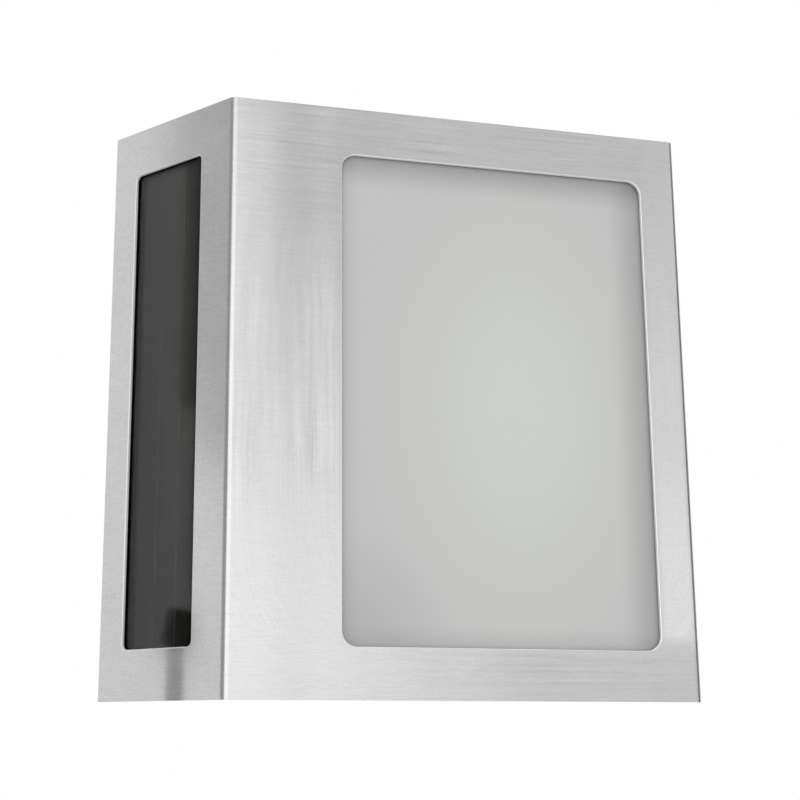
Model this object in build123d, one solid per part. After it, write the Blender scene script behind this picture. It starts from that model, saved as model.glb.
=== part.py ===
from build123d import *
import os
from math import radians, tan

# Solar house number light: a folded stainless cover over a moulded wall housing.
# X runs to the right, Y back to the wall and Z up. The origin is the middle of
# the back, on the wall plane. Lengths are in millimetres, and "off" is always a
# distance off the wall, towards the front.

# Body and cover sheet
height = 200.0
front_width = 163.0
panel_run = 34.8  # how far the panel face leans out to the left
depth = 48.6
sheet = 1.0
bend_inner = 2.0
wall_gap = 0.5  # the cover's back edge to the wall

# Windows in the cover
window_left_margin = 38.1
window_right_margin = 14.6
window_end_margin = 16.8
window_radius = 5.0
panel_near_margin = 14.9  # fold to the panel window
panel_far_margin = 12.25  # panel window to the wall, along the panel face
panel_radius = 2.0
window_edge = 0.35  # rounding of the windows' outer edges

# Opal pane and its foam tape
pane = 3.0
pane_lap = 6.0
pane_corner = 2.0
tape = 0.8
tape_setback = 2.0

# Solar panel, from its seal inwards
panel_seal_thickness = 0.6
panel_seal_setback = 0.3
glass = 2.2
film = 0.3
backing = 0.5
glass_near = 3.0  # fold to the near edge of the glass
glass_lap = 2.5
glass_end_lap = 4.0
busbar_margin = 4.5  # bare strip at the far edge of the film
near_margin = 2.5
cell_strips = 4
scribe_width = 0.25
terminal_radius = 2.0
terminal_height = 0.8
terminal_spacing = 8.0

# Moulded housing
fit = 0.3  # moulded pieces to the cover and to each other
back_wall = 2.5
side_wall = 2.0
end_wall = 2.5
end_recess = 1.5  # the cover's ends stand past the housing by this
rib = 1.6
rib_height = 4.0
rib_row_spacing = 60.0
drain_width = 10.0
drain_height = 3.0

# Keyholes in the back wall
keyhole_spacing = 120.0
keyhole_drop = 24.0  # top end wall to the entry hole
keyhole_entry_radius = 4.5
keyhole_slot_width = 5.0
keyhole_rise = 9.0
keyhole_pocket = 5.0
pocket_wall = 1.5
pocket_corner = 4.0

# Hooks at the cover's left edge
hook = 0.8
hook_bend = 0.4
hook_width = 14.0
hook_foot = 9.0
hook_gap = 1.0  # leg to the panel's glass
hook_spacing = 120.0
hook_sink = 0.4  # foot below the wall plane

# Screws: shank radius, head radius and head height
cover_screw = (1.5, 2.9, 1.6)
tray_screw = (1.3, 2.7, 2.0)
board_screw = (1.1, 2.2, 1.5)
screw_fit = 0.05  # shank in the hole that it bites
screw_clear = 0.25  # shank in the hole that it passes
recess_reach = 1.3  # cross recess in the heads
recess_width = 0.7
boss_wall = 2.0
cover_screw_off = 12.0
cover_screw_spacing = 120.0
cover_screw_length = 8.0
tray_screw_length = 9.0
board_screw_length = 6.0
led_screw_length = 3.8

# White light tray
tray_clear = 1.5  # tray walls outside the window's edge
tray_wall = 1.5
tray_flange = 2.0
tray_flange_reach = 2.0
tray_deep = 9.0  # off the wall, at the lamp side
tray_shallow = 24.0
tray_bulge = 3.0
ear_offset = 4.6
ear_radius = 3.4
ear = 2.0
ear_off = 26.0
ear_spacing = 80.0

# Lamp board and its light-emitting diodes
led_radius = 2.5
led_flange_radius = 2.9
led_flange = 1.0
led_length = 8.6
led_fit = 0.2
led_spacing = 40.0
led_off = 27.0
led_count = 4
led_board_gap = 0.3
circuit_board = 1.6
led_board_width = 14.0
led_board_end = 12.0  # last diode to the board's end
led_boss_radius = 3.0

# Battery bay, contacts and cells
cell_diameter = 14.2
cell_length = 50.5
cell_nub_radius = 2.75
cell_nub = 1.0
cell_edge = 0.5
cell_gap = 0.8
cell_clear = 0.5
bay_wall = 2.8
bay_floor = 1.8
bay_end_gap = 15.0  # bottom end wall to the bay
bay_panel_gap = 3.0
contact = 0.4
contact_width = 11.0
contact_bend = 0.4
contact_reach = 4.0  # sprung leaf to its plate
contact_tip = 1.0  # free end of the leaf to its plate
contact_dimple = 0.6
contact_dimple_radius = 2.0
leaf_width = 7.0
tail_width = 3.0
tail_length = 4.0

# Battery door
door_ledge = 2.0
door_gap = 0.35
door_sink = 0.3
door_seal_thickness = 0.6
door_seal_inset = 0.25
hinge_off = 2.0
hinge_barrel_radius = 1.5
hinge_pin_radius = 1.2
hinge_pin_length = 2.5
hinge_pin_fit = 0.05
hinge_channel_radius = 2.0
hinge_wall = 1.5
hinge_swing_room = 0.4
door_rib = 1.2
door_rib_height = 0.9
nib_radius = 1.0  # snap nibs on the door's sides
nib_rise = 0.25
nib_drop = 8.0  # door's lower edge to the nibs
thumb_radius = 8.0
thumb_depth = 1.4

# Control board and what it carries
board_gap = 3.0
board_height = 52.0
board_post_radius = 2.8
board_post_inset = 4.0
board_pin_rise = 0.6
chip = (5.0, 4.0, 1.6)
chip_chamfer = 0.3
inductor_radius = 4.0
inductor_height = 7.0
inductor_waist = 0.8
inductor_flange = 1.4
capacitor_radius = 3.2
capacitor_height = 8.0
capacitor_edge = 0.5
connector = (6.0, 6.0, 6.0)

# Slide switch
switch_drop = 17.0  # board's upper edge to the switch
switch_length = 8.6
switch_width = 4.6
switch_height = 4.5
switch_base_height = 2.0
switch_plate = 0.4
switch_roof_gap = 0.4
switch_travel = 2.0
knob_size = 2.6
knob_play = 0.1
knob_sink = 0.3
knob_chamfer = 0.4
knob_room = 0.4
switch_recess = 1.2
switch_recess_margin = 3.0

# Inner wires
wire_radius = 0.6
wire_sides = 6
wire_pitch = 2.4
wire_run = 4.5  # straight run beside a plug or a solder point
arc_share = 0.45

# Places worked out from the sizes above
total_width = front_width + panel_run
left_x = -total_width / 2
right_x = total_width / 2
fold_x = left_x + panel_run
panel_length = (panel_run**2 + depth**2) ** 0.5

window_x0 = fold_x + window_left_margin
window_x1 = right_x - window_right_margin
window_x = (window_x0 + window_x1) / 2
window_width = window_x1 - window_x0
window_height = height - 2 * window_end_margin

pane_front = depth - sheet - tape
pane_back = pane_front - pane

panel_far = panel_length - panel_far_margin
panel_u = (panel_near_margin + panel_far) / 2
panel_width = panel_far - panel_near_margin
glass_far = panel_far + glass_lap
glass_width = glass_far - glass_near
glass_u = (glass_near + glass_far) / 2
glass_height = window_height + 2 * glass_end_lap
glass_depth = sheet + panel_seal_thickness
film_depth = glass_depth + glass
backing_depth = film_depth + film
panel_depth = backing_depth + backing

inset = sheet + fit
end_outer = height / 2 - end_recess
end_inner = end_outer - end_wall
housing_front = depth - sheet - fit
wall_inner_x = right_x - inset - side_wall

keyhole_z = end_inner - keyhole_drop

tray_x0 = window_x0 - tray_clear - tray_wall
tray_half = window_height / 2 + tray_clear + tray_wall
ear_z = tray_half + ear_offset

led_seat_x = tray_x0 - led_flange - led_board_gap
led_board_x0 = led_seat_x - circuit_board
led_row = [led_spacing * (i - (led_count - 1) / 2) for i in range(led_count)]
led_screw_row = [-led_spacing, led_spacing]

bay_width = 2 * cell_diameter + cell_gap + 2 * cell_clear
bay_off = back_wall + cell_diameter + 2 * cell_clear
bay_front = bay_off + bay_floor
cell_off = back_wall + cell_clear + cell_diameter / 2
bay_z0 = -end_inner + bay_end_gap
bay_length = cell_length + 2 * contact + contact_reach + contact_dimple
bay_z1 = bay_z0 + bay_length
bay_z = (bay_z0 + bay_z1) / 2

hinge_z = bay_z1 + door_ledge + hinge_channel_radius
door_top_edge = hinge_z + hinge_channel_radius + hinge_swing_room
hinge_block_top = door_top_edge + hinge_wall
hinge_block_off = hinge_off + hinge_channel_radius + hinge_wall
door_inner_off = back_wall - door_seal_thickness
door_bottom = bay_z0 - door_ledge + door_gap
opening_width = bay_width + 2 * door_ledge
door_width = opening_width - 2 * door_gap

board_off = back_wall + switch_roof_gap + switch_height
board_front = board_off + circuit_board
board_z0 = hinge_block_top + board_gap
board_z1 = board_z0 + board_height
switch_z = board_z1 - switch_drop


def panel_x(depth_in, off):
    """X of the panel face, moved inwards by depth_in, at a distance off the wall."""
    return left_x + panel_run * off / depth + depth_in * panel_length / depth


bay_x0 = panel_x(panel_depth, bay_front) + bay_panel_gap + bay_wall
bay_x = bay_x0 + bay_width / 2
cell_pitch = cell_diameter + cell_gap
left_cell_x = bay_x - cell_pitch / 2
right_cell_x = bay_x + cell_pitch / 2
board_x0 = bay_x0 - bay_wall
board_x1 = led_board_x0 - board_gap
switch_x = (board_x0 + board_x1) / 2
knob_x = switch_x - switch_travel / 2

opening_z0 = bay_z0 - door_ledge
pin_half = opening_width / 2 + hinge_pin_length
socket_half = pin_half + fit

keyhole_row = [-keyhole_spacing / 2, keyhole_spacing / 2]
hook_row = [-hook_spacing / 2, hook_spacing / 2]
cover_screw_row = [-cover_screw_spacing / 2, cover_screw_spacing / 2]
ear_columns = [window_x - ear_spacing / 2, window_x + ear_spacing / 2]
ear_places = [(x, z) for x in ear_columns for z in (-ear_z, ear_z)]
rib_columns = [window_x - ear_spacing / 4, window_x + ear_spacing / 4]
rib_rows = [-rib_row_spacing / 2, rib_row_spacing / 2]
drain_places = [bay_x, window_x]

board_left = board_x0 + board_post_inset
board_right = board_x1 - board_post_inset
board_low = board_z0 + board_post_inset
board_high = board_z1 - board_post_inset
board_screw_places = [(board_left, board_low), (board_right, board_high)]
board_pin_places = [(board_left, board_high), (board_right, board_low)]
board_z = (board_z0 + board_z1) / 2

plug_off = board_front + connector[2] / 2
panel_plug = (board_left + board_post_inset + connector[0] / 2, board_high - connector[1])
lamp_plug = (board_x1 - connector[0], board_z)
battery_plug = (bay_x, board_low + connector[1])
chip_place = (switch_x, board_z)
inductor_place = (switch_x + 2 * inductor_radius, board_high - inductor_radius)
capacitor_place = (board_left + 2 * capacitor_radius, board_z)
terminal_row = [panel_plug[1] - terminal_spacing / 2, panel_plug[1] + terminal_spacing / 2]
wire_row = [-wire_pitch / 2, wire_pitch / 2]

# Local x on the panel face runs from the fold to the back, z runs inwards
panel_face = Plane(
    origin=(fold_x, -depth, 0),
    x_dir=(-panel_run, depth, 0),
    z_dir=(depth, panel_run, 0),
)


def from_wall(sketch, start, end):
    """Raise an X-Z sketch from one distance off the wall to another."""
    return extrude(Plane.XZ.offset(start) * sketch, amount=end - start)


def from_panel(sketch, start, end):
    """Raise a sketch on the panel face from one depth under it to another."""
    return extrude(panel_face.offset(start) * sketch, amount=end - start)


def rod_x(radius, x0, x1, off, z):
    """Round bar along X."""
    return extrude(Plane((x0, -off, z), z_dir=(1, 0, 0)) * Circle(radius), amount=x1 - x0)


def rod(radius, x, z, start, end):
    """Round bar standing off the wall."""
    return from_wall(Pos(x, z) * Circle(radius), start, end)


def block(x0, x1, z0, z1, start, end):
    """Straight block between two X, two Z and two distances off the wall."""
    return from_wall(Pos((x0 + x1) / 2, (z0 + z1) / 2) * Rectangle(x1 - x0, z1 - z0), start, end)


def folded_section(points, thickness, bend):
    """Section of a sheet folded along a line of points, with its thickness to the left."""
    line = [Vector(*point) for point in points]
    steps = [(b - a).normalized() for a, b in zip(line, line[1:])]
    sides = [Vector(-step.Y, step.X) for step in steps]
    back = [line[0] + sides[0] * thickness]
    line_radii = []
    back_radii = []
    for corner, before, after in zip(line[1:-1], sides, sides[1:]):
        back.append(corner + (before + after) * (thickness / (1 + before.dot(after))))
        turns_left = before.cross(after).Z > 0
        line_radii.append(bend + thickness if turns_left else bend)
        back_radii.append(bend if turns_left else bend + thickness)
    back.append(line[-1] + sides[-1] * thickness)
    radii = [0, *line_radii, 0, 0, *reversed(back_radii), 0]
    return make_face(FilletPolyline(*line, *reversed(back), radius=radii, close=True))


def window_outline(grow, radius):
    """Front window's outline, grown on every side."""
    return Pos(window_x, 0) * RectangleRounded(
        window_width + 2 * grow, window_height + 2 * grow, radius
    )


def screw(plane, size, length):
    """Pan-head screw seated on a plane, with its shank along the plane's normal."""
    shank, head, head_height = size
    rim = head_height / 2
    profile = Polyline(
        (0, -head_height),
        (head - rim, -head_height),
        (head, -rim),
        (head, 0),
        (shank, 0),
        (shank, length - shank),
        (shank / 2, length),
        (0, length),
        close=True,
    )
    body = revolve(Plane.XZ * make_face(profile), Axis.Z)
    slot = Box(2 * recess_reach, recess_width, head_height)
    recess = Pos(0, 0, -head_height) * (slot + Rot(0, 0, 90) * slot)
    return plane.location * (body - recess)


def front_cover():
    edge = wall_gap + sheet * panel_run / panel_length
    line = [
        (panel_x(0, edge), -edge),
        (fold_x, -depth),
        (right_x, -depth),
        (right_x, -wall_gap),
    ]
    shell = extrude(folded_section(line, sheet, bend_inner), amount=height / 2, both=True)
    shell -= from_wall(window_outline(0, window_radius), depth - 2 * sheet, depth + sheet)
    panel_window = Pos(panel_u, 0) * RectangleRounded(panel_width, window_height, panel_radius)
    shell -= from_panel(panel_window, -sheet, 2 * sheet)
    hole = cover_screw[0] + screw_clear
    for z in cover_screw_row:
        shell -= rod_x(hole, right_x - 2 * sheet, right_x + sheet, cover_screw_off, z)
    # Past its bend, the right wall ends level with the housing
    bend_end = depth - sheet - bend_inner
    end_cut = block(right_x - 2 * sheet, right_x + sheet, end_outer, height, 0, bend_end)
    shell = shell - end_cut - mirror(end_cut, Plane.XY)
    # The windows' outer edges are rounded, so that a hand on the sheet isn't cut
    front = shell.faces().filter_by(Plane.XZ).sort_by(Axis.Y)[0]
    slanted = shell.faces().filter_by(panel_face).sort_by(Axis(panel_face.origin, panel_face.z_dir))[0]
    rims = front.inner_wires()[0].edges() + slanted.inner_wires()[0].edges()
    return fillet(rims, window_edge)


def hook_brackets():
    corner_x = panel_x(sheet, hook_sink)
    leg_end = (panel_face * Pos(glass_far + hook_gap, 0, sheet)).position
    line = [
        (corner_x + hook_foot, -hook_sink),
        (corner_x, -hook_sink),
        (leg_end.X, leg_end.Y),
    ]
    bracket = extrude(folded_section(line, hook, hook_bend), amount=hook_width / 2, both=True)
    return Compound(children=[Pos(0, 0, z) * bracket for z in hook_row])


def cover_screws():
    seats = [Plane((right_x, -cover_screw_off, z), z_dir=(-1, 0, 0)) for z in cover_screw_row]
    return Compound(children=[screw(seat, cover_screw, cover_screw_length) for seat in seats])


def diffuser_pane():
    return from_wall(window_outline(pane_lap, pane_corner), pane_back, pane_front)


def diffuser_tape():
    frame = window_outline(pane_lap, pane_corner) - window_outline(
        tape_setback, window_radius + tape_setback
    )
    return from_wall(frame, pane_front, pane_front + tape)


def glass_outline():
    return Pos(glass_u, 0) * Rectangle(glass_width, glass_height)


def panel_seal():
    opening = Pos(panel_u, 0) * RectangleRounded(
        panel_width + 2 * panel_seal_setback,
        window_height + 2 * panel_seal_setback,
        panel_radius + panel_seal_setback,
    )
    return from_panel(glass_outline() - opening, sheet, glass_depth)


def solar_glass():
    return from_panel(glass_outline(), glass_depth, film_depth)


def solar_cells():
    near = glass_near + near_margin
    pitch = (glass_far - busbar_margin - near) / cell_strips
    strip = Rectangle(pitch - scribe_width, glass_height - 2 * near_margin)
    places = [near + pitch * (i + 0.5) for i in range(cell_strips)]
    return Compound(
        children=[from_panel(Pos(u, 0) * strip, film_depth, backing_depth) for u in places]
    )


def solar_backing():
    return from_panel(glass_outline(), backing_depth, panel_depth)


def panel_terminals():
    blob = Circle(terminal_radius)
    top = panel_depth + terminal_height
    return Compound(
        children=[from_panel(Pos(glass_u, z) * blob, panel_depth, top) for z in terminal_row]
    )


def keyhole_cut(x):
    """Entry hole with its slot above, and the pocket for the screw's head behind it."""
    top = keyhole_z + keyhole_rise
    entry = Pos(x, keyhole_z) * Circle(keyhole_entry_radius)
    slot = Pos(x, (keyhole_z + top) / 2) * Rectangle(keyhole_slot_width, keyhole_rise)
    end = Pos(x, top) * Circle(keyhole_slot_width / 2)
    return from_wall(entry + slot + end, -fit, back_wall)


def keyhole_pocket_outline(x, grow):
    width = 2 * (keyhole_entry_radius + fit + grow)
    middle = keyhole_z + keyhole_rise / 2
    return Pos(x, middle) * RectangleRounded(width, keyhole_rise + width, pocket_corner + grow)


def housing_shell():
    """Back wall with its right wall, closed by an end wall above and below."""
    wall_front = housing_front - bend_inner
    floor = [
        (panel_x(inset, 0), 0),
        (panel_x(inset, back_wall), -back_wall),
        (wall_inner_x, -back_wall),
        (wall_inner_x, -wall_front),
        (right_x - inset, -wall_front),
        (right_x - inset, 0),
    ]
    plan = [
        (panel_x(inset, 0), 0),
        (panel_x(inset, housing_front), -housing_front),
        (right_x - inset, -housing_front),
        (right_x - inset, 0),
    ]
    end = make_face(FilletPolyline(*plan, radius=[0, bend_inner, bend_inner, 0], close=True))
    shell = extrude(make_face(Polyline(*floor, close=True)), amount=end_outer, both=True)
    shell += Pos(0, 0, end_inner) * extrude(end, amount=end_wall)
    shell += Pos(0, 0, -end_outer) * extrude(end, amount=end_wall)
    return shell


def housing_bosses():
    """Everything that stands up inside the back wall."""
    bosses = []
    for x in keyhole_row:
        outline = keyhole_pocket_outline(x, pocket_wall)
        bosses.append(from_wall(outline, back_wall, back_wall + keyhole_pocket + pocket_wall))
    bay = Rectangle(bay_width + 2 * bay_wall, bay_length + 2 * bay_wall)
    bosses.append(from_wall(Pos(bay_x, bay_z) * bay, back_wall, bay_front))
    hinge_half = socket_half + hinge_wall
    bosses.append(
        block(
            bay_x - hinge_half,
            bay_x + hinge_half,
            bay_z1,
            hinge_block_top,
            back_wall,
            hinge_block_off,
        )
    )
    for x, z in ear_places:
        bosses.append(rod(ear_radius, x, z, back_wall, ear_off))
        near, far = sorted((z, end_inner if z > 0 else -end_inner))
        bosses.append(block(x - rib / 2, x + rib / 2, near, far, back_wall, ear_off - ear))
    for x, z in board_screw_places + board_pin_places:
        bosses.append(rod(board_post_radius, x, z, back_wall, board_off))
    for x, z in board_pin_places:
        bosses.append(rod(board_screw[0], x, z, board_off, board_front + board_pin_rise))
    boss_radius = cover_screw[0] + boss_wall
    boss_x = wall_inner_x - (cover_screw_length - sheet - fit - side_wall) - boss_wall
    for z in cover_screw_row:
        bosses.append(rod_x(boss_radius, boss_x, wall_inner_x, cover_screw_off, z))
    for x in rib_columns:
        bosses.append(
            block(x - rib / 2, x + rib / 2, -end_inner, end_inner, back_wall, back_wall + rib_height)
        )
    for z in rib_rows:
        bosses.append(
            block(tray_x0, wall_inner_x, z - rib / 2, z + rib / 2, back_wall, back_wall + rib_height)
        )
    return bosses


def hook_notch():
    """Room in the back wall's left edge for a hook's leg and foot."""
    pocket = hook_sink + hook + fit
    clear = sheet + hook + fit
    deep = back_wall + fit
    foot_end = panel_x(sheet, hook_sink) + hook_foot + fit
    plan = [
        (panel_x(0, 0) - fit, fit),
        (foot_end, fit),
        (foot_end, -pocket),
        (panel_x(clear, pocket), -pocket),
        (panel_x(clear, deep), -deep),
        (panel_x(0, 0) - fit, -deep),
    ]
    return extrude(make_face(Polyline(*plan, close=True)), amount=hook_width / 2 + fit, both=True)


def housing_cuts():
    """Holes, pockets and slots of the housing."""
    cuts = []
    for x in keyhole_row:
        cuts.append(keyhole_cut(x))
        outline = keyhole_pocket_outline(x, 0)
        cuts.append(from_wall(outline, back_wall, back_wall + keyhole_pocket))
    for z in hook_row:
        cuts.append(Pos(0, 0, z) * hook_notch())
    cuts.append(from_wall(Pos(bay_x, bay_z) * Rectangle(bay_width, bay_length), back_wall, bay_off))
    half = opening_width / 2
    cuts.append(block(bay_x - half, bay_x + half, opening_z0, door_top_edge, -fit, back_wall))
    cuts.append(rod_x(hinge_channel_radius, bay_x - half, bay_x + half, hinge_off, hinge_z))
    socket = hinge_pin_radius + hinge_pin_fit
    cuts.append(rod_x(socket, bay_x - socket_half, bay_x + socket_half, hinge_off, hinge_z))
    cuts.append(rod(thumb_radius, bay_x, opening_z0, -fit, thumb_depth))
    tail_half = tail_width / 2 + fit
    for x in (left_cell_x, right_cell_x):
        slot_z = bay_z1 - contact - fit
        cuts.append(block(x - tail_half, x + tail_half, slot_z, bay_z1, bay_off, bay_front))
    for x, z in ear_places:
        pilot = tray_screw[0] + screw_fit
        cuts.append(rod(pilot, x, z, ear_off - tray_screw_length, ear_off))
    for x, z in board_screw_places:
        pilot = board_screw[0] + screw_fit
        cuts.append(rod(pilot, x, z, back_wall, board_off))
    for z in cover_screw_row:
        pilot = cover_screw[0] + screw_fit
        tip = right_x - cover_screw_length - fit
        cuts.append(rod_x(pilot, tip, right_x, cover_screw_off, z))
    slot_half = (knob_size + switch_travel) / 2 + knob_room
    slot_rise = knob_size / 2 + fit
    cuts.append(
        block(
            switch_x - slot_half,
            switch_x + slot_half,
            switch_z - slot_rise,
            switch_z + slot_rise,
            -fit,
            back_wall,
        )
    )
    recess = Rectangle(
        2 * (slot_half + switch_recess_margin), 2 * (slot_rise + switch_recess_margin)
    )
    cuts.append(from_wall(Pos(switch_x, switch_z) * recess, -fit, switch_recess))
    for x in drain_places:
        drain = Rectangle(drain_width, end_wall + 2 * fit)
        place = Pos(x, -(end_outer + end_inner) / 2)
        cuts.append(from_wall(place * drain, back_wall, back_wall + drain_height))
    return cuts


def rear_housing():
    return housing_shell() + housing_bosses() - housing_cuts()


def tray_section(grow, front):
    """Plan of the tray, with its floor as one arc that rises away from the lamps."""
    x0 = window_x0 - tray_clear - grow
    x1 = window_x1 + tray_clear + grow
    low = tray_deep - grow
    high = tray_shallow - grow
    middle = ((x0 + x1) / 2, tray_bulge - (low + high) / 2)
    floor = ThreePointArc((x0, -low), middle, (x1, -high))
    walls = Polyline((x1, -high), (x1, -front), (x0, -front), (x0, -low))
    return make_face(floor.edges() + walls.edges())


def light_tray():
    rim = window_outline(tray_clear + tray_wall + tray_flange_reach, pane_corner)
    tray = extrude(tray_section(tray_wall, pane_back), amount=tray_half, both=True)
    tray += from_wall(rim, pane_back - tray_flange, pane_back)
    for x, z in ear_places:
        near, far = sorted((z, tray_half - tray_wall if z > 0 else tray_wall - tray_half))
        tray += block(x - ear_radius, x + ear_radius, near, far, ear_off, ear_off + ear)
        tray += rod(ear_radius, x, z, ear_off, ear_off + ear)
    for z in led_screw_row:
        tray += rod_x(led_boss_radius, led_seat_x, tray_x0, led_off, z)
    cavity = tray_section(0, pane_back + tray_flange)
    tray -= extrude(cavity, amount=tray_half - tray_wall, both=True)
    for x, z in ear_places:
        tray -= rod(tray_screw[0] + screw_clear, x, z, ear_off - fit, ear_off + ear + fit)
    for z in led_row:
        tray -= rod_x(led_radius + led_fit, tray_x0 - fit, window_x0, led_off, z)
    for z in led_screw_row:
        tip = led_board_x0 + led_screw_length + screw_clear
        tray -= rod_x(board_screw[0] + screw_fit, led_seat_x, tip, led_off, z)
    return tray


def tray_screws():
    seats = [Plane((x, -ear_off - ear, z), z_dir=(0, 1, 0)) for x, z in ear_places]
    return Compound(children=[screw(seat, tray_screw, tray_screw_length) for seat in seats])


def led_board():
    half = led_row[-1] + led_board_end
    across = (led_off - led_board_width / 2, led_off + led_board_width / 2)
    board = block(led_board_x0, led_seat_x, -half, half, *across)
    for z in led_screw_row:
        board -= rod_x(board_screw[0] + screw_clear, led_board_x0, led_seat_x, led_off, z)
    return board


def leds():
    straight = led_length - led_radius
    sides = Polyline(
        (0, led_length),
        (0, 0),
        (led_flange_radius, 0),
        (led_flange_radius, led_flange),
        (led_radius, led_flange),
        (led_radius, straight),
    )
    slope = led_radius * 0.5**0.5
    dome = ThreePointArc((led_radius, straight), (slope, straight + slope), (0, led_length))
    lens = revolve(Plane.XZ * make_face(sides.edges() + dome.edges()), Axis.Z)
    seats = [Plane((led_seat_x, -led_off, z), z_dir=(1, 0, 0)) for z in led_row]
    return Compound(children=[seat.location * lens for seat in seats])


def led_board_screws():
    seats = [Plane((led_board_x0, -led_off, z), z_dir=(1, 0, 0)) for z in led_screw_row]
    return Compound(children=[screw(seat, board_screw, led_screw_length) for seat in seats])


def control_board():
    board = block(board_x0, board_x1, board_z0, board_z1, board_off, board_front)
    for x, z in board_screw_places + board_pin_places:
        board -= rod(board_screw[0] + screw_clear, x, z, board_off, board_front)
    return board


def board_screws():
    seats = [Plane((x, -board_front, z), z_dir=(0, 1, 0)) for x, z in board_screw_places]
    return Compound(children=[screw(seat, board_screw, board_screw_length) for seat in seats])


def driver_chip():
    width, rise, thick = chip
    place = Pos(*chip_place)
    body = from_wall(place * Rectangle(width, rise), board_front, board_front + thick)
    return chamfer(body.faces().sort_by(Axis.Y)[0].edges(), chip_chamfer)


def inductor():
    waist_radius = inductor_radius - inductor_waist
    profile = Polyline(
        (0, 0),
        (inductor_radius, 0),
        (inductor_radius, inductor_flange),
        (waist_radius, inductor_flange),
        (waist_radius, inductor_height - inductor_flange),
        (inductor_radius, inductor_height - inductor_flange),
        (inductor_radius, inductor_height),
        (0, inductor_height),
        close=True,
    )
    drum = revolve(Plane.XZ * make_face(profile), Axis.Z)
    x, z = inductor_place
    return Plane((x, -board_front, z), z_dir=(0, -1, 0)).location * drum


def capacitor():
    can = rod(capacitor_radius, *capacitor_place, board_front, board_front + capacitor_height)
    return chamfer(can.faces().sort_by(Axis.Y)[0].edges(), capacitor_edge)


def lead_connectors():
    width, rise, thick = connector
    shell = Rectangle(width, rise)
    return Compound(
        children=[
            from_wall(Pos(*place) * shell, board_front, board_front + thick)
            for place in (panel_plug, lamp_plug, battery_plug)
        ]
    )


def switch_outline(shrink):
    size = Rectangle(switch_length - 2 * shrink, switch_width - 2 * shrink)
    return Pos(switch_x, switch_z) * size


def switch_base():
    return from_wall(switch_outline(switch_plate), board_off - switch_base_height, board_off)


def switch_shell():
    roof = board_off - switch_height
    can = from_wall(switch_outline(0), roof, board_off)
    can -= from_wall(switch_outline(switch_plate), roof + switch_plate, board_off)
    slot = Rectangle(knob_size + switch_travel + 2 * knob_room, knob_size + 2 * knob_play)
    return can - from_wall(Pos(switch_x, switch_z) * slot, roof, roof + switch_plate)


def switch_knob():
    roof = board_off - switch_height + switch_plate + knob_play
    base = board_off - switch_base_height - knob_play
    foot_length = switch_length - 2 * switch_plate - switch_travel - 2 * knob_play
    foot = Rectangle(foot_length, switch_width - 2 * switch_plate - 2 * knob_play)
    place = Pos(knob_x, switch_z)
    stem = from_wall(place * Rectangle(knob_size, knob_size), knob_sink, base)
    stem = chamfer(stem.faces().sort_by(Axis.Y)[-1].edges(), knob_chamfer)
    return stem + from_wall(place * foot, roof, base)


def battery_cell():
    """Cell standing on its flat end, with its contact nub on top."""
    radius = cell_diameter / 2
    shoulder = cell_length - cell_nub
    profile = Polyline(
        (0, 0),
        (radius - cell_edge, 0),
        (radius, cell_edge),
        (radius, shoulder - cell_edge),
        (radius - cell_edge, shoulder),
        (cell_nub_radius, shoulder),
        (cell_nub_radius, cell_length),
        (0, cell_length),
        close=True,
    )
    return revolve(Plane.XZ * make_face(profile), Axis.Z)


def left_cell():
    top = bay_z1 - contact - contact_dimple
    return Pos(left_cell_x, -cell_off, top - cell_length) * battery_cell()


def right_cell():
    bottom = bay_z0 + contact + contact_dimple
    return Pos(right_cell_x, -cell_off, bottom + cell_length) * Rot(180, 0, 0) * battery_cell()


def contact_leaf(x):
    """Sprung leaf folded back over a plate that lies on Z zero."""
    half = contact_width / 2
    line = [
        (cell_off + half, contact_tip),
        (cell_off, contact + contact_reach),
        (cell_off - half, 0),
        (cell_off, 0),
    ]
    side = Plane((x, 0, 0), x_dir=(0, -1, 0), z_dir=(-1, 0, 0))
    section = side * folded_section(line, contact, contact_bend)
    return extrude(section, amount=leaf_width / 2, both=True)


def contact_plate(x0, x1, tail_x=None):
    """Plate that lies on Z zero against the bay's end, with a tail through the bay's floor."""
    half = contact_width / 2
    plate = block(x0, x1, 0, contact, cell_off - half, cell_off + half)
    if tail_x is None:
        return plate
    tail = (tail_x - tail_width / 2, tail_x + tail_width / 2)
    return plate + block(*tail, 0, contact, cell_off, bay_front + tail_length)


def contact_button(x):
    """Raised dimple on a plate that lies on Z zero."""
    place = Pos(x, -cell_off, 0)
    return extrude(place * Circle(contact_dimple_radius), amount=contact + contact_dimple)


def positive_contact():
    half = contact_width / 2
    plate = contact_plate(left_cell_x - half, left_cell_x + half, left_cell_x)
    return Pos(0, 0, bay_z1) * mirror(plate + contact_button(left_cell_x), Plane.XY)


def negative_contact():
    half = contact_width / 2
    plate = contact_plate(right_cell_x - half, right_cell_x + half, right_cell_x)
    return Pos(0, 0, bay_z1) * mirror(plate + contact_leaf(right_cell_x), Plane.XY)


def link_contact():
    half = contact_width / 2
    plate = contact_plate(left_cell_x - half, right_cell_x + half)
    return Pos(0, 0, bay_z0) * (plate + contact_leaf(left_cell_x) + contact_button(right_cell_x))


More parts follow.
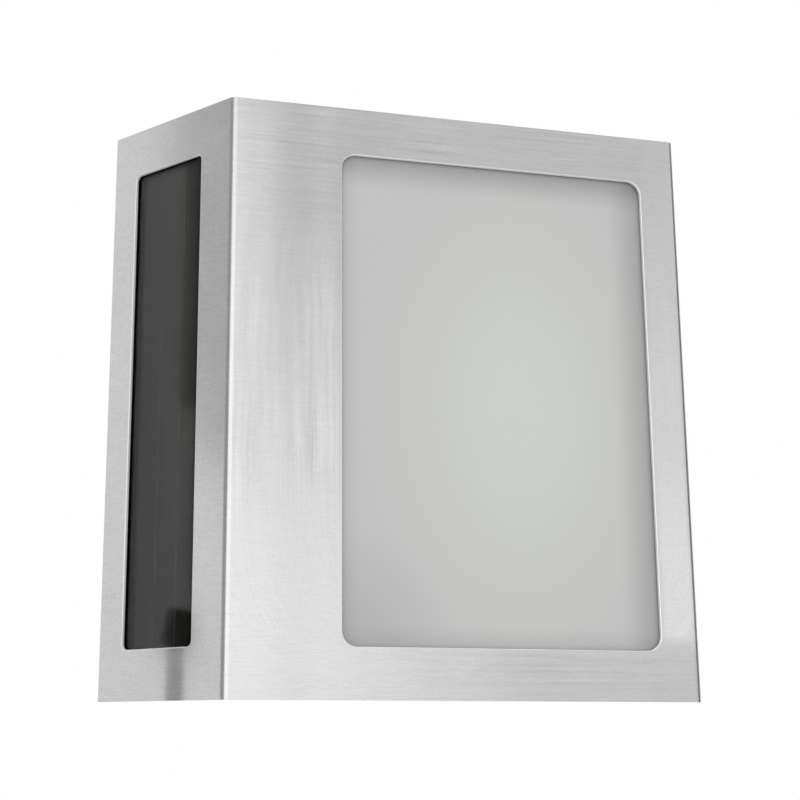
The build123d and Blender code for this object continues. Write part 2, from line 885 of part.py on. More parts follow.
def battery_door():
    half = door_width / 2
    door = block(bay_x - half, bay_x + half, door_bottom, hinge_z, door_sink, door_inner_off)
    door += rod_x(hinge_barrel_radius, bay_x - half, bay_x + half, hinge_off, hinge_z)
    door += rod_x(hinge_pin_radius, bay_x - pin_half, bay_x + pin_half, hinge_off, hinge_z)
    rib_top = door_inner_off + door_rib_height
    for x in (left_cell_x, right_cell_x):
        edges = (x - door_rib / 2, x + door_rib / 2)
        door += block(*edges, bay_z0 + bay_wall, bay_z1 - bay_wall, door_inner_off, rib_top)
    nib_half = half + nib_rise - nib_radius
    for x in (bay_x - nib_half, bay_x + nib_half):
        door += rod(nib_radius, x, door_bottom + nib_drop, 2 * door_sink, door_inner_off)
    return door


def door_seal():
    outer_width = door_width - 2 * door_seal_inset
    inner_width = bay_width + 2 * door_seal_inset
    z0 = door_bottom + door_seal_inset
    z1 = hinge_z - hinge_channel_radius - door_seal_inset
    outer = Pos(bay_x, (z0 + z1) / 2) * Rectangle(outer_width, z1 - z0)
    inner = Pos(bay_x, bay_z) * Rectangle(inner_width, bay_length + 2 * door_seal_inset)
    return from_wall(outer - inner, door_inner_off, back_wall)


def wire(points):
    """Wire along straight runs joined by arcs as large as the runs allow."""
    runs = [b - a for a, b in zip(points, points[1:])]
    radii = []
    for before, after in zip(runs, runs[1:]):
        half_turn = radians(before.get_angle(after) / 2)
        radii.append(arc_share * min(before.length, after.length) / tan(half_turn))
    path = FilletPolyline(*points, radius=radii)
    start = Plane(origin=path @ 0, z_dir=path % 0)
    return sweep(start * RegularPolygon(wire_radius, wire_sides), path=path)


def at(x, off, z):
    return Vector(x, -off, z)


def on_panel(z, deep):
    """Point under the middle of the panel's glass."""
    return (panel_face * Pos(glass_u, z, deep)).position


def panel_leads():
    plug_x, plug_z = panel_plug
    plug_left = plug_x - connector[0] / 2
    top = panel_depth + terminal_height
    leads = []
    for terminal_z, shift in zip(terminal_row, wire_row):
        route = [
            on_panel(terminal_z, top),
            on_panel(terminal_z, top + wire_run),
            at(plug_left - wire_run, plug_off, plug_z + shift),
            at(plug_left, plug_off, plug_z + shift),
        ]
        leads.append(wire(route))
    return Compound(children=leads)


def led_leads():
    plug_x, plug_z = lamp_plug
    leads = []
    for shift in wire_row:
        z = plug_z + shift
        route = [
            at(plug_x, board_front + connector[2], z),
            at(plug_x, led_off, z),
            at(led_board_x0, led_off, z),
        ]
        leads.append(wire(route))
    return Compound(children=leads)


def battery_leads():
    plug_x, plug_z = battery_plug
    tail_off = bay_front + tail_length / 2
    turn_z = bay_z1 + bay_wall + wire_run
    leads = []
    for cell_x, shift in zip((left_cell_x, right_cell_x), wire_row):
        route = [
            at(cell_x, tail_off, bay_z1),
            at(cell_x, tail_off, turn_z),
            at(plug_x + shift, plug_off, turn_z),
            at(plug_x + shift, plug_off, plug_z - connector[1] / 2),
        ]
        leads.append(wire(route))
    return Compound(children=leads)


makers = [
    front_cover,
    hook_brackets,
    cover_screws,
    diffuser_pane,
    diffuser_tape,
    panel_seal,
    solar_glass,
    solar_cells,
    solar_backing,
    panel_terminals,
    rear_housing,
    light_tray,
    tray_screws,
    led_board,
    leds,
    led_board_screws,
    control_board,
    board_screws,
    driver_chip,
    inductor,
    capacitor,
    lead_connectors,
    switch_base,
    switch_shell,
    switch_knob,
    left_cell,
    right_cell,
    positive_contact,
    negative_contact,
    link_contact,
    battery_door,
    door_seal,
    panel_leads,
    led_leads,
    battery_leads,
]

os.makedirs("parts", exist_ok=True)
for maker in makers:
    export_step(maker(), f"parts/{maker.__name__}.step")
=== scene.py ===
import math

import bpy
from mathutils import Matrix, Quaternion, Vector


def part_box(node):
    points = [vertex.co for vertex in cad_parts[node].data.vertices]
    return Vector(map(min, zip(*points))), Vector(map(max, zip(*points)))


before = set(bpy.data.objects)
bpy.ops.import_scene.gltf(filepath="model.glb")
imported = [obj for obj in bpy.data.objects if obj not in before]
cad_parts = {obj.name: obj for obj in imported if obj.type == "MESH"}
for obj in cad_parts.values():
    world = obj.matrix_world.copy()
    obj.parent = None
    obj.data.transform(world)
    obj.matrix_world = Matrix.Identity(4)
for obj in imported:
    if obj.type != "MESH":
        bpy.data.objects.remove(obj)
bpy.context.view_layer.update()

# Camera, fitted to the photograph's 800 by 800 frame, in metres
image_width = 800
camera_place = Vector((-0.14237, -0.50266, -0.10967))
camera_yaw = 14.146  # degrees to the right of +Y
camera_pitch = 12.798  # degrees above the horizon
focal_pixels = 1461.3
axis_column = 336.88  # pixel column that the lens axis meets
sensor_width = 36.0

# Stage, in metres: the light hangs well above a pale floor
floor_drop = 0.6
floor_radius = 4.0
floor_sides = 64
floor_gleam = 0.15  # light that the floor adds in reflections only
world_level = 0.73  # background's light on matte surfaces
corner_steps = 8  # points on each rounded corner of a card

# Windows and sheet, in millimetres, most of them taken from the frame
MM = 1000.0
pane_lap = 6.0  # pane behind the sheet, past the window's edge
pane_low, pane_high = (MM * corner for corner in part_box("diffuser_pane"))
cover_low, cover_high = (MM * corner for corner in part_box("front_cover"))
cells_low, cells_high = (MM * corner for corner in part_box("solar_cells"))
window_centre = (pane_low + pane_high) / 2
window_half_x = (pane_high.x - pane_low.x) / 2 - pane_lap
window_half_z = (pane_high.z - pane_low.z) / 2 - pane_lap
window_radius = 5.0
rounded_edge = 0.33  # width of the windows' rounded outer edges, which get a painted highlight
near = 0.02  # tolerance that tells the cut faces from the rest
front_y = cover_low.y
end_z = cover_high.z

# Slanted panel face, in millimetres: its fold line, and its direction from the fold to the back
fold_x = -64.1
panel_step = Vector((-0.582, 0.813, 0.0))
panel_out = Vector((-panel_step.y, panel_step.x, 0.0))
panel_window = (14.9, 47.52)  # from the fold
panel_radius = 2.0
first_strip = 5.5
strip_pitch = 10.07
scribe = 0.25  # gap between two strips
scribe_seen = 0.3  # half the width of the line drawn over it
roll_start = 0.9  # from the fold line, within the bend
roll_width = 7.0
roll_slope = 0.05


class Look:
    """A material: one Principled shader and the nodes that feed it."""

    def __init__(self, name, **sockets):
        self.material = bpy.data.materials.new(name)
        self.material.use_nodes = True
        self.nodes = self.material.node_tree.nodes
        self.links = self.material.node_tree.links
        self.shader = self.nodes["Principled BSDF"]
        for socket, value in sockets.items():
            self.feed(socket.replace("_", " "), value)

    def feed(self, socket, value):
        self.join(self.shader.inputs[socket], value)

    def join(self, socket, value):
        if isinstance(value, bpy.types.NodeSocket):
            self.links.new(value, socket)
        elif socket.type == "RGBA" and len(value) == 3:
            socket.default_value = (*value, 1.0)
        else:
            socket.default_value = value

    def add(self, kind, *inputs, **settings):
        """New node with its first sockets joined in order. Its first output is returned."""
        made = self.nodes.new(kind)
        for name, value in settings.items():
            setattr(made, name, value)
        for socket, value in zip(made.inputs, inputs):
            self.join(socket, value)
        return made.outputs[0]

    def math(self, operation, *values):
        return self.add("ShaderNodeMath", *values, operation=operation)

    def product(self, first, *others):
        for other in others:
            first = self.math("MULTIPLY", first, other)
        return first

    def measure(self, operation, *vectors):
        """Number worked out from vectors."""
        made = self.nodes.new("ShaderNodeVectorMath")
        made.operation = operation
        for socket, vector in zip(made.inputs, vectors):
            self.join(socket, vector)
        return made.outputs["Value"]

    def place(self):
        """Place on the part, in millimetres."""
        coordinates = self.nodes.new("ShaderNodeTexCoord").outputs["Object"]
        return self.stretch(coordinates, (MM, MM, MM))

    def split(self, vector):
        made = self.nodes.new("ShaderNodeSeparateXYZ")
        self.links.new(vector, made.inputs[0])
        return made.outputs

    def stretch(self, vector, factors):
        return self.add("ShaderNodeVectorMath", vector, factors, operation="MULTIPLY")

    def noise(self, vector, detail=2.0, roughness=0.5):
        made = self.nodes.new("ShaderNodeTexNoise")
        sockets = {"Vector": vector, "Scale": 1.0, "Detail": detail, "Roughness": roughness}
        for socket, value in sockets.items():
            self.join(made.inputs[socket], value)
        return made.outputs[0]

    def pattern(self, place, scale, detail=2.0, roughness=0.5):
        """Noise of a scale per millimetre: one number, or one for each axis."""
        factors = scale if isinstance(scale, tuple) else (scale, scale, scale)
        return self.noise(self.stretch(place, factors), detail, roughness)

    def spread(self, value, from_low, from_high, to_low, to_high):
        """Value carried smoothly from one range to another, and held at its ends."""
        made = self.nodes.new("ShaderNodeMapRange")
        made.interpolation_type = "SMOOTHSTEP"
        for socket, limit in zip(made.inputs, (value, from_low, from_high, to_low, to_high)):
            self.join(socket, limit)
        return made.outputs[0]

    def fade(self, value, out, full):
        """Nothing where the value is at or past one limit, one at or past the other."""
        return self.spread(value, out, full, 0.0, 1.0)

    def waver(self, value, amount, base=1.0):
        """Base plus a noise value's swing about its middle."""
        return self.math("MULTIPLY_ADD", value, amount, base - amount / 2)

    def sway(self, value, amount):
        """One plus a noise value's swing about its middle, by an amount that varies."""
        return self.math("MULTIPLY_ADD", self.math("SUBTRACT", value, 0.5), amount, 1.0)

    def swell(self, shade, mask, amount):
        """Shade raised by a share where the mask is one."""
        return self.math("MULTIPLY", shade, self.math("MULTIPLY_ADD", mask, amount, 1.0))

    def between(self, factor, first, second):
        """Number between two numbers."""
        return self.math("MULTIPLY_ADD", self.math("SUBTRACT", second, first), factor, first)

    def mix(self, factor, first, second, blend="MIX"):
        made = self.nodes.new("ShaderNodeMix")
        made.data_type = "RGBA"
        made.blend_type = blend
        self.join(made.inputs[0], factor)
        self.join(made.inputs[6], first)
        self.join(made.inputs[7], second)
        return made.outputs[2]

    def tint(self, colour, value):
        """Colour times a value."""
        return self.mix(1.0, colour, value, "MULTIPLY")

    def bump(self, height, normal=None):
        """Surface relief from a height in millimetres."""
        made = self.nodes.new("ShaderNodeBump")
        made.inputs["Distance"].default_value = 1 / MM
        self.join(made.inputs["Height"], height)
        if normal is not None:
            self.join(made.inputs["Normal"], normal)
        self.feed("Normal", made.outputs[0])

    def soft_edges(self, radius):
        """Normal that rounds off sharp edges by a radius in millimetres."""
        return self.add("ShaderNodeBevel", radius / MM, samples=4)

    def along_panel(self, x, y):
        """Distance from the fold along the panel face."""
        from_fold = self.math("MULTIPLY", self.math("SUBTRACT", x, fold_x), panel_step.x)
        return self.math("MULTIPLY_ADD", self.math("SUBTRACT", y, front_y), panel_step.y, from_fold)

    def outline_distance(self, across, along, half_across, half_along, radius):
        """Distance from the core of a rounded rectangle: its radius on the outline itself."""
        past_across = self.math("SUBTRACT", self.math("ABSOLUTE", across), half_across - radius)
        past_along = self.math("SUBTRACT", self.math("ABSOLUTE", along), half_along - radius)
        past_across = self.math("MAXIMUM", past_across, 0.0)
        past_along = self.math("MAXIMUM", past_along, 0.0)
        square = self.math("MULTIPLY", past_along, past_along)
        return self.math("SQRT", self.math("MULTIPLY_ADD", past_across, past_across, square))

    def oval_distance(self, x, z, centre, reach):
        """Distance from the centre of an oval, as a share of its reach along x and z."""
        off_x = self.math("MULTIPLY", self.math("SUBTRACT", x, centre[0]), 1 / reach[0])
        off_z = self.math("MULTIPLY", self.math("SUBTRACT", z, centre[1]), 1 / reach[1])
        return self.measure("LENGTH", self.add("ShaderNodeCombineXYZ", off_x, off_z, 0.0))


def hand_strokes(look, place, across, front, right_margin):
    """Strokes about zero: swept round the window's lower corners, level above and below it."""
    sweep_radius, sweep_drift = 45.0, 2.5
    strokes_per_mm, change_along = 1.2, 0.02
    x, _, z = look.split(place)
    drift = look.pattern(place, 0.05, detail=1.0)
    sweep = look.outline_distance(across, z, window_half_x, window_half_z, sweep_radius)
    sweep = look.math("MULTIPLY_ADD", drift, sweep_drift, sweep)
    route = look.add(
        "ShaderNodeCombineXYZ",
        look.math("MULTIPLY", sweep, strokes_per_mm),
        look.math("MULTIPLY", x, change_along),
        look.math("MULTIPLY", z, change_along),
    )
    fine = look.noise(route, detail=3.0, roughness=0.6)
    broad = look.noise(look.stretch(route, (0.25, 1.0, 1.0)), detail=1.0)
    swept = look.math("ADD", look.math("SUBTRACT", broad, 0.5), fine)
    level = look.pattern(place, (0.02, 0.02, 0.8), detail=4.0, roughness=0.65)
    level_part = look.math("MAXIMUM", look.fade(z, 20.0, 75.0), look.fade(z, -72.0, -88.0))
    strokes = look.between(level_part, swept, level)

    # They are stronger in patches, low down and at the top, and weak on the right margin
    patches = look.pattern(place, (0.035, 0.035, 0.02), detail=1.0)
    in_patches = look.spread(patches, 0.35, 0.65, 0.5, 1.3)
    at_top = look.spread(z, 72.0, 86.0, 0.0, 0.3)
    by_height = look.math("ADD", look.spread(z, -70.0, 30.0, 1.4, 0.7), at_top)
    force = look.swell(look.product(front, in_patches, by_height), right_margin, -0.7)
    return look.math("MULTIPLY", look.math("SUBTRACT", strokes, 0.5), force)


def painted_sheen(look, x, z, front, right_margin):
    """Factor on the sheet's colour: one, but less in a darker patch and where reflection is painted darker,
    and more where it is painted paler.
    """
    # A darker patch round the window's upper left corner
    off = look.oval_distance(x, z, centre=(-20.0, 68.0), reach=(30.0, 60.0))
    sheen = look.spread(off, 0.1, 1.0, 0.87, 1.0)

    # Painted darker reflection in a band down the middle of the left margin, which fades downwards
    band_x, band_reach = -43.0, 12.5
    off_band = look.math("ABSOLUTE", look.math("SUBTRACT", x, band_x))
    band = look.product(look.fade(off_band, band_reach, 1.0), look.spread(z, -20.0, 45.0, 0.25, 1.0), front)
    sheen = look.swell(sheen, band, -0.15)

    # Painted paler reflection on the right margin, most of all low down, but not beside the bottom margin
    lower = look.product(look.spread(z, -5.0, -65.0, 0.2, 1.0), look.fade(z, -82.0, -77.0))
    sheen = look.swell(sheen, look.product(right_margin, lower, front), 0.17)

    # Painted darker reflection on the bottom margin, towards the right
    painted_dim = look.product(look.fade(z, -80.0, -86.0), look.fade(x, 10.0, 45.0), front)
    return look.swell(sheen, painted_dim, -0.07)


def sheet_edges(look, x, y, z, across):
    """Masks of the cut faces, at the windows and the sheet's two ends, and of the rounded edges; both are
    painted paler as highlights.
    """
    panel_half = (panel_window[1] - panel_window[0]) / 2
    panel_across = look.math("SUBTRACT", look.along_panel(x, y), sum(panel_window) / 2)
    cut = look.math("GREATER_THAN", look.math("ABSOLUTE", z), end_z - near)
    highlit_edges = 0.0
    windows = (across, window_half_x, window_radius), (panel_across, panel_half, panel_radius)
    for from_middle, half, radius in windows:
        rim = look.outline_distance(from_middle, z, half, window_half_z, radius)
        cut = look.math("MAXIMUM", cut, look.math("LESS_THAN", rim, radius + near))
        highlit_edges = look.math("MAXIMUM", highlit_edges, look.math("LESS_THAN", rim, radius + rounded_edge))
    return cut, highlit_edges


def brushed_steel():
    """Sheet with a rolled grain, hand strokes and painted sheen on the front, and matt cut edges, with
    painted highlights on the cut and rounded edges.
    """
    steel_colour = (0.592, 0.592, 0.589)
    edge_highlight_colour = (0.76, 0.76, 0.755)
    cut_highlight_colour = (0.9, 0.9, 0.9)
    look = Look("brushed_steel", Anisotropic=0.6, Anisotropic_Rotation=0.25)
    look.feed("Tangent", look.add("ShaderNodeTangent", direction_type="RADIAL", axis="Z"))
    place = look.place()
    x, y, z = look.split(place)
    across = look.math("SUBTRACT", x, window_centre.x)
    front = look.fade(y, front_y + 0.3, front_y + 0.05)
    right_margin = look.fade(across, window_half_x - 1.0, window_half_x + 3.0)

    grain = look.pattern(place, (0.14, 0.14, 2.0), roughness=0.6)
    speckle = look.pattern(place, (1.3, 1.3, 1.6), detail=1.0)
    clouds = look.pattern(place, 0.03, detail=3.0)
    strokes = hand_strokes(look, place, across, front, right_margin)

    # Grain and speckle are weaker on the front than on the other faces
    grain_depth = look.math("MULTIPLY_ADD", front, -0.06, 0.22)
    speck_depth = look.math("MULTIPLY_ADD", front, -0.1, 0.26)
    shade = look.product(look.sway(grain, grain_depth), look.waver(clouds, 0.16))
    shade = look.product(shade, look.sway(speckle, speck_depth))
    shade = look.swell(shade, strokes, 0.36)
    # Painted sheen: darker and paler reflection on the front's margins, and a darker patch
    shade = look.product(shade, painted_sheen(look, x, z, front, right_margin))

    # Painted highlights: the matt cut faces and the windows' rounded outer edges are painted paler
    cut, highlit_edges = sheet_edges(look, x, y, z, across)
    steel = look.mix(highlit_edges, look.tint(steel_colour, shade), edge_highlight_colour)
    look.feed("Base Color", look.mix(cut, steel, cut_highlight_colour))
    look.feed("Metallic", look.math("MULTIPLY_ADD", cut, -0.8, 1.0))
    roughness = look.math("MULTIPLY_ADD", strokes, 0.2, look.waver(clouds, 0.1, base=0.32))
    look.feed("Roughness", look.between(cut, roughness, 0.55))
    relief = look.math("MULTIPLY_ADD", grain, 0.006, look.math("MULTIPLY", strokes, 0.012))

    # The front rolls off a little towards the fold
    short = look.math("MAXIMUM", look.math("SUBTRACT", fold_x + roll_width, x), 0.0)
    short = look.math("MINIMUM", short, roll_width - roll_start)
    roll = look.product(short, short, -roll_slope / (2 * roll_width))
    look.bump(look.math("ADD", roll, relief))
    return look.material


def screw_steel():
    look = Look("screw_steel", Metallic=1.0)
    turning = look.pattern(look.place(), 3.0, detail=3.0)
    look.feed("Base Color", look.tint((0.56, 0.56, 0.55), look.waver(turning, 0.15)))
    look.feed("Roughness", look.waver(turning, 0.2, base=0.28))
    look.feed("Normal", look.soft_edges(0.15))
    return look.material


def opal_acrylic():
    """Milky pane with painted light: paler and a little green in the middle, and shaded under the sheet's
    edges.
    """
    rim_colour = (0.594, 0.586, 0.588)
    middle_glow_colour = (0.66, 0.683, 0.643)
    look = Look("opal_acrylic", Roughness=0.5)
    place = look.place()
    x, _, z = look.split(place)
    from_left = look.math("SUBTRACT", x, window_centre.x - window_half_x)
    from_right = look.math("SUBTRACT", window_centre.x + window_half_x, x)
    from_bottom = look.math("SUBTRACT", z, window_centre.z - window_half_z)
    from_top = look.math("SUBTRACT", window_centre.z + window_half_z, z)
    from_corner = look.measure("LENGTH", look.add("ShaderNodeCombineXYZ", from_left, from_bottom, 0.0))

    # Each shadow's distance, where it starts and ends, and its darkest shade
    shadows = (
        (from_left, 0.0, 7.0, 0.9),
        (from_right, 0.0, 14.0, 0.72),
        (from_top, 0.0, 12.0, 0.7),
        (from_bottom, 0.0, 8.0, 0.88),
        (from_corner, 5.0, 45.0, 0.84),
    )
    frost = look.pattern(place, 2.5, detail=3.0)
    shade = look.product(*(look.spread(off, start, end, dark, 1.0) for off, start, end, dark in shadows))
    shade = look.product(shade, look.waver(frost, 0.03))
    # Painted light: paler and a little green towards the middle
    off = look.oval_distance(x, z, centre=(38.0, -4.0), reach=(58.0, 92.0))
    colour = look.mix(look.fade(off, 1.1, 0.1), rim_colour, middle_glow_colour)
    look.feed("Base Color", look.tint(colour, shade))
    look.bump(look.math("MULTIPLY", frost, 0.01))
    return look.material


def clear_glass():
    """Panel glass with a thin coat that takes half of its reflection away."""
    look = Look("clear_glass", Base_Color=(0.97, 0.98, 0.97), IOR=1.36, Transmission_Weight=1.0)
    smear = look.pattern(look.place(), (0.05, 0.05, 0.02), detail=3.0)
    look.feed("Roughness", look.waver(smear, 0.03, base=0.1))
    return look.material


def cell_film():
    """Dark film, browner towards the fold, with faint uneven bands and fine lines."""
    grey, brown = (0.012, 0.012, 0.013), (0.021, 0.014, 0.009)
    line_colour = (0.04, 0.04, 0.04)
    look = Look("cell_film", Roughness=0.4, Specular_IOR_Level=0.0)
    place = look.place()
    x, y, z = look.split(place)
    bands = look.pattern(place, (0.2, 0.2, 0.008))
    browner = look.fade(x, cells_high.x - 17.0, cells_high.x - 9.0)
    colour = look.tint(look.mix(browner, grey, brown), look.waver(bands, 0.8))
    # Darker towards the bottom and lighter towards the top
    colour = look.tint(colour, look.spread(z, -70.0, 60.0, 0.6, 1.4))
    from_line = look.math("SUBTRACT", look.along_panel(x, y), first_strip - scribe / 2)
    from_line = look.math("PINGPONG", from_line, strip_pitch / 2)
    line = look.math("LESS_THAN", from_line, scribe_seen)
    look.feed("Base Color", look.mix(line, colour, line_colour))
    return look.material


def panel_back():
    """Back coat of the panel: grey behind the strips and the lines between them, dark beside them."""
    look = Look("panel_back", Roughness=0.6, Specular_IOR_Level=0.0)
    place = look.place()
    x, _, _ = look.split(place)
    mottle = look.pattern(place, (0.5, 0.5, 0.05))
    inside = look.math("GREATER_THAN", x, cells_low.x)
    colour = look.mix(inside, (0.012, 0.012, 0.012), (0.06, 0.06, 0.06))
    look.feed("Base Color", look.tint(colour, look.waver(mottle, 0.6)))
    return look.material


def charcoal_abs():
    """Dark moulded housing: fine leather grain, faint flow marks, and edges painted paler, partly as wear
    and partly as a painted highlight.
    """
    base_colour, worn_highlight_colour = (0.036, 0.037, 0.039), (0.16, 0.16, 0.165)
    worn_highlight_width, edge_radius = 0.9, 0.3
    look = Look("charcoal_abs")
    place = look.place()
    grain = look.pattern(place, 0.6, detail=3.0, roughness=0.65)
    flow = look.pattern(place, (0.02, 0.02, 0.05), detail=3.0)
    scuffs = look.pattern(place, 0.12, detail=3.0)
    flat = look.nodes.new("ShaderNodeNewGeometry").outputs["Normal"]
    # Edges painted paler: partly rubbed wear, partly a painted highlight
    turn = look.measure("DOT_PRODUCT", look.soft_edges(worn_highlight_width), flat)
    worn_and_highlit = look.product(look.fade(turn, 0.995, 0.85), look.spread(scuffs, 0.35, 0.65, 0.35, 1.0))
    colour = look.tint(base_colour, look.waver(flow, 0.8))
    colour = look.tint(colour, look.waver(grain, 1.4))
    look.feed("Base Color", look.mix(worn_and_highlit, colour, worn_highlight_colour))
    look.feed("Roughness", look.waver(grain, 0.4, base=0.38))
    look.bump(look.math("MULTIPLY", grain, 0.25), look.soft_edges(edge_radius))
    return look.material


def plastic(name, colour, roughness, texture, edge=0.25):
    """Moulded plastic with a fine spark texture and soft edges."""
    look = Look(name)
    place = look.place()
    pits = look.pattern(place, texture)
    clouds = look.pattern(place, 0.04)
    look.feed("Base Color", look.tint(colour, look.waver(clouds, 0.2)))
    look.feed("Roughness", look.waver(pits, 0.2, base=roughness))
    look.bump(look.math("MULTIPLY", pits, 0.02), look.soft_edges(edge))
    return look.material


def rubber(name, colour):
    look = Look(name, Roughness=0.8)
    cells = look.pattern(look.place(), 4.0)
    look.feed("Base Color", look.tint(colour, look.waver(cells, 0.4)))
    look.bump(look.math("MULTIPLY", cells, 0.05))
    return look.material


def plated(name, colour, roughness):
    look = Look(name, Metallic=1.0)
    wear = look.pattern(look.place(), 0.8, detail=4.0)
    look.feed("Base Color", look.tint(colour, look.waver(wear, 0.2)))
    look.feed("Roughness", look.waver(wear, 0.15, base=roughness))
    return look.material


def cell_sleeve():
    """Shrunk sleeve of a battery cell: plain green with a pale band near one end."""
    band_share, band_half = 0.8, 4.0
    look = Look("cell_sleeve", Roughness=0.3)
    place = look.place()
    _, _, z = look.split(place)
    low, high = (MM * corner.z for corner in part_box("left_cell"))
    band = look.math("COMPARE", z, low + band_share * (high - low), band_half)
    scuffs = look.pattern(place, 0.3, detail=4.0)
    colour = look.mix(band, (0.05, 0.22, 0.09), (0.6, 0.62, 0.58))
    look.feed("Base Color", look.tint(colour, look.waver(scuffs, 0.2)))
    return look.material


def dress():
    """Every CAD node gets its material."""
    black = plastic("black_plastic", (0.015, 0.015, 0.015), 0.4, 3.0, edge=0.1)
    looks = {
        brushed_steel(): ("front_cover", "hook_brackets"),
        screw_steel(): ("cover_screws", "tray_screws", "led_board_screws", "board_screws"),
        opal_acrylic(): ("diffuser_pane",),
        clear_glass(): ("solar_glass",),
        cell_film(): ("solar_cells",),
        panel_back(): ("solar_backing",),
        charcoal_abs(): ("rear_housing", "battery_door"),
        black: ("driver_chip", "inductor", "switch_base", "switch_knob"),
        plastic("tray_white", (0.8, 0.8, 0.78), 0.45, 2.0): ("light_tray",),
        plastic("nylon", (0.75, 0.72, 0.62), 0.4, 3.0, edge=0.1): ("lead_connectors",),
        plastic("board_green", (0.012, 0.09, 0.04), 0.35, 2.0, edge=0.05): ("led_board", "control_board"),
        plastic("led_resin", (0.85, 0.8, 0.5), 0.15, 3.0, edge=0.05): ("leds",),
        plastic("wire_sleeve", (0.25, 0.015, 0.015), 0.35, 3.0, edge=0.05): (
            "panel_leads",
            "led_leads",
            "battery_leads",
        ),
        rubber("foam_tape", (0.012, 0.012, 0.012)): ("diffuser_tape", "panel_seal", "door_seal"),
        plated("nickel", (0.66, 0.63, 0.58), 0.25): (
            "positive_contact",
            "negative_contact",
            "link_contact",
        ),
        plated("tin", (0.6, 0.6, 0.6), 0.3): ("switch_shell", "panel_terminals", "capacitor"),
        cell_sleeve(): ("left_cell", "right_cell"),
    }
    for material, names in looks.items():
        for name in names:
            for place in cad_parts[name].material_slots:
                place.material = material


def towards(azimuth, elevation, distance):
    """Place that far from the part's middle. Azimuth runs from +Y towards +X."""
    a, e = math.radians(azimuth), math.radians(elevation)
    return distance * Vector((math.sin(a) * math.cos(e), math.cos(a) * math.cos(e), math.sin(e)))


def softbox(name, place, size, radiance):
    """Soft lamp that faces the part's middle."""
    lamp = bpy.data.lights.new(name, "AREA")
    lamp.shape = "RECTANGLE"
    lamp.size, lamp.size_y = size
    lamp.energy = radiance * math.pi * size[0] * size[1]
    holder = bpy.data.objects.new(name, lamp)
    holder.location = place
    holder.rotation_euler = (-place).to_track_quat("-Z", "Y").to_euler()
    bpy.context.scene.collection.objects.link(holder)
    holder.visible_camera = False


def card(name, place, facing, size, level, rounding=0.0, lean=0.0):
    """Evenly lit card, seen in reflections and through glass only, that leans by degrees in its plane."""
    steps = corner_steps if rounding else 1
    rim = []
    for i in range(4 * steps):
        turn = math.pi / 2 * (i + 0.5) / steps
        across, up = math.cos(turn), math.sin(turn)
        x = math.copysign(size[0] / 2 - rounding, across) + rounding * across
        y = math.copysign(size[1] / 2 - rounding, up) + rounding * up
        rim.append((x, y, 0))
    mesh = bpy.data.meshes.new(name)
    mesh.from_pydata(rim, [], [tuple(range(len(rim)))])
    look = Look(name, Base_Color=(0, 0, 0), Specular_IOR_Level=0.0)
    look.feed("Emission Color", (1, 1, 1))
    look.feed("Emission Strength", level)
    mesh.materials.append(look.material)
    holder = bpy.data.objects.new(name, mesh)
    holder.location = place
    leant = facing.to_track_quat("Z", "Y") @ Quaternion((0, 0, 1), math.radians(lean))
    holder.rotation_euler = leant.to_euler()
    bpy.context.scene.collection.objects.link(holder)
    holder.visible_camera = False
    holder.visible_diffuse = False
    holder.visible_shadow = False


def off_panel(along, off, z):
    """Place at a distance off the panel face, in front of a point along it, from millimetres."""
    place = Vector((fold_x, front_y, z)) + along * panel_step + off * panel_out
    return place / MM


def floor():
    mesh = bpy.data.meshes.new("floor")
    turn = [2 * math.pi * i / floor_sides for i in range(floor_sides)]
    rim = [(floor_radius * math.cos(a), floor_radius * math.sin(a), -floor_drop) for a in turn]
    mesh.from_pydata(rim, [], [tuple(range(len(rim)))])
    ground = bpy.data.objects.new("floor", mesh)
    bpy.context.scene.collection.objects.link(ground)
    look = Look("floor", Base_Color=(0.82, 0.82, 0.82), Roughness=0.9)
    path = look.nodes.new("ShaderNodeLightPath")
    look.feed("Emission Color", (1, 1, 1))
    look.feed("Emission Strength", look.math("MULTIPLY", path.outputs["Is Glossy Ray"], floor_gleam))
    mesh.materials.append(look.material)


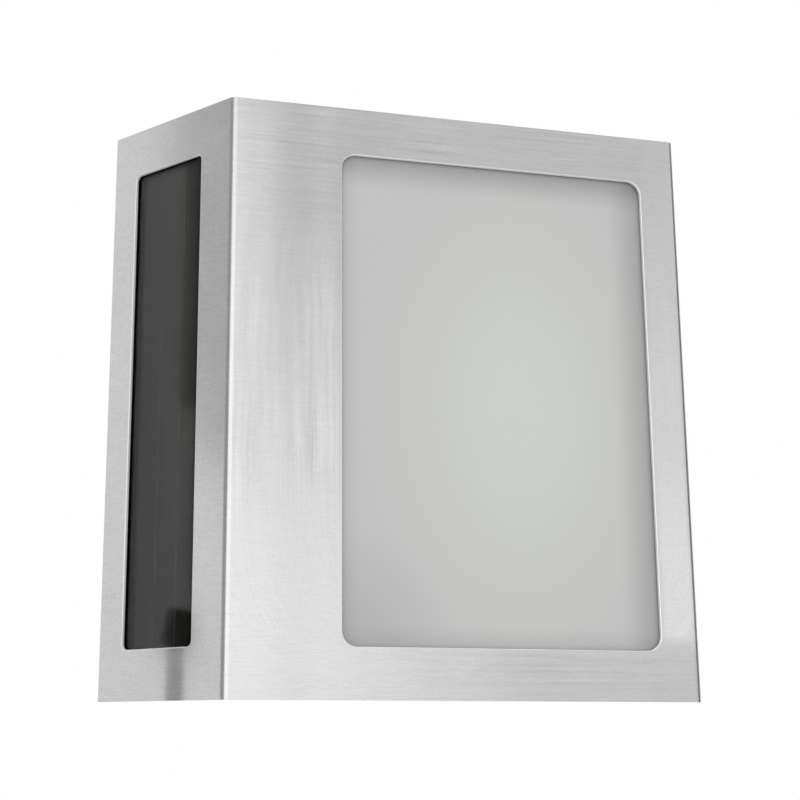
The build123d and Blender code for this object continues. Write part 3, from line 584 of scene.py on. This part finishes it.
def studio_world():
    """White background, with less light from it on matte surfaces."""
    world = bpy.data.worlds.new("studio")
    world.use_nodes = True
    nodes, links = world.node_tree.nodes, world.node_tree.links
    background = nodes["Background"]
    background.inputs["Color"].default_value = (1.0, 1.0, 1.0, 1.0)
    path = nodes.new("ShaderNodeLightPath")
    seen = path.outputs["Is Camera Ray"]
    for ray in ("Is Glossy Ray", "Is Transmission Ray"):
        either = nodes.new("ShaderNodeMath")
        either.operation = "MAXIMUM"
        links.new(seen, either.inputs[0])
        links.new(path.outputs[ray], either.inputs[1])
        seen = either.outputs[0]
    level = nodes.new("ShaderNodeMapRange")
    level.inputs["To Min"].default_value = world_level
    links.new(seen, level.inputs["Value"])
    links.new(level.outputs[0], background.inputs["Strength"])
    bpy.context.scene.world = world


def studio_light():
    """Soft lamps round the part, and cards for the metal and the glass to reflect."""
    softbox("key", towards(-158.5, 5, 1.3), size=(0.98, 1.0), radiance=0.8)
    softbox("front", towards(172, 0, 1.4), size=(0.35, 0.3), radiance=1.2)
    softbox("overhead", towards(160, 72, 1.3), size=(1.0, 0.8), radiance=0.8)
    softbox("rear", towards(25, 35, 1.4), size=(0.8, 0.6), radiance=0.7)

    # Cards that face the part's middle
    above = towards(149, 39, 1.0)
    card("upper_card", above, -above, size=(0.66, 0.72), level=0.72)
    beside = towards(95, 5, 0.8)
    card("right_card", beside, -beside, size=(0.5, 0.9), level=0.2)
    glow = towards(149, 7, 1.0)
    card("right_glow", glow, -glow, size=(0.1, 0.1), level=2.2)

    # Cards beside the fold and the panel face
    card_z = 2.5
    beside_fold = off_panel(5.5, 29.5, card_z)
    to_fold = off_panel(0.0, 0.0, card_z) - beside_fold
    card("left_card", beside_fold, to_fold, size=(0.029, 0.245), level=0.42)
    right = Vector((1, 0, 0))
    card("fold_card", Vector((-0.175, -0.029, 0.122)), right, size=(0.024, 0.26), level=0.53)
    card("fold_card_end", Vector((-0.175, -0.0128, 0.135)), right, size=(0.0084, 0.234), level=0.45)
    head = off_panel(51.1, 27.0, -74.9)
    card("stand_head", head, panel_out, size=(0.018, 0.014), level=0.11, rounding=0.003, lean=-14)
    post = off_panel(28.8, 6.7, -98.0)
    card("stand_post", post, panel_out, size=(0.0082, 0.029), level=0.4)


def camera():
    lens = bpy.data.cameras.new("camera")
    lens.sensor_width = sensor_width
    lens.lens = focal_pixels / image_width * sensor_width
    lens.shift_x = (image_width / 2 - axis_column) / image_width
    holder = bpy.data.objects.new("camera", lens)
    holder.location = camera_place
    holder.rotation_euler = (math.radians(90 + camera_pitch), 0, math.radians(-camera_yaw))
    bpy.context.scene.collection.objects.link(holder)
    bpy.context.scene.camera = holder


dress()
floor()
studio_world()
studio_light()
camera()
bpy.context.scene.view_settings.view_transform = "Standard"
